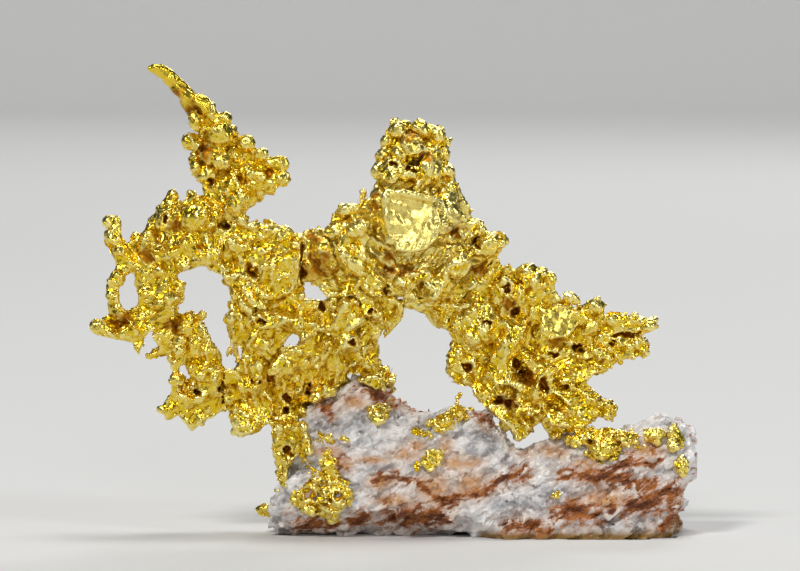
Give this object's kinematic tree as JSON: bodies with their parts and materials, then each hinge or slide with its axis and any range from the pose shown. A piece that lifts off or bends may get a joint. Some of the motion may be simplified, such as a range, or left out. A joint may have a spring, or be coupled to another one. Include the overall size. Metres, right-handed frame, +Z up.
{
  "type": "native gold specimen",
  "caption": "Crystallised native gold, a ragged openwork of leaves and grains with a curved horn, standing on a broken block of rust-stained milky quartz.",
  "frame": {"origin": "on the flat underside of the quartz, about below the middle of its length", "axes": "+X to the right along the quartz as the specimen's face is seen, +Y away from the viewer, +Z up"},
  "size_m": [0.07, 0.0167, 0.054],
  "materials": {
    "native_gold": "bright crystalline native gold",
    "milky_quartz": "broken, glassy on fresh faces, rust in the cracks"
  },
  "bodies": {
    "root": {"quartz_matrix": "milky_quartz", "left_loop_gold": "native_gold", "horned_crest_gold": "native_gold", "middle_web_gold": "native_gold", "tower_gold": "native_gold", "right_spray_gold": "native_gold", "left_end_seam_gold": "native_gold", "left_tip_nub_gold": "native_gold", "front_patch_gold": "native_gold", "right_ledge_gold": "native_gold", "end_speck_gold": "native_gold", "top_speck_gold": "native_gold", "face_speck_gold": "native_gold", "notch_vein_gold": "native_gold", "face_fleck_gold": "native_gold", "shoulder_fleck_gold": "native_gold"}
  },
  "joints": []
}
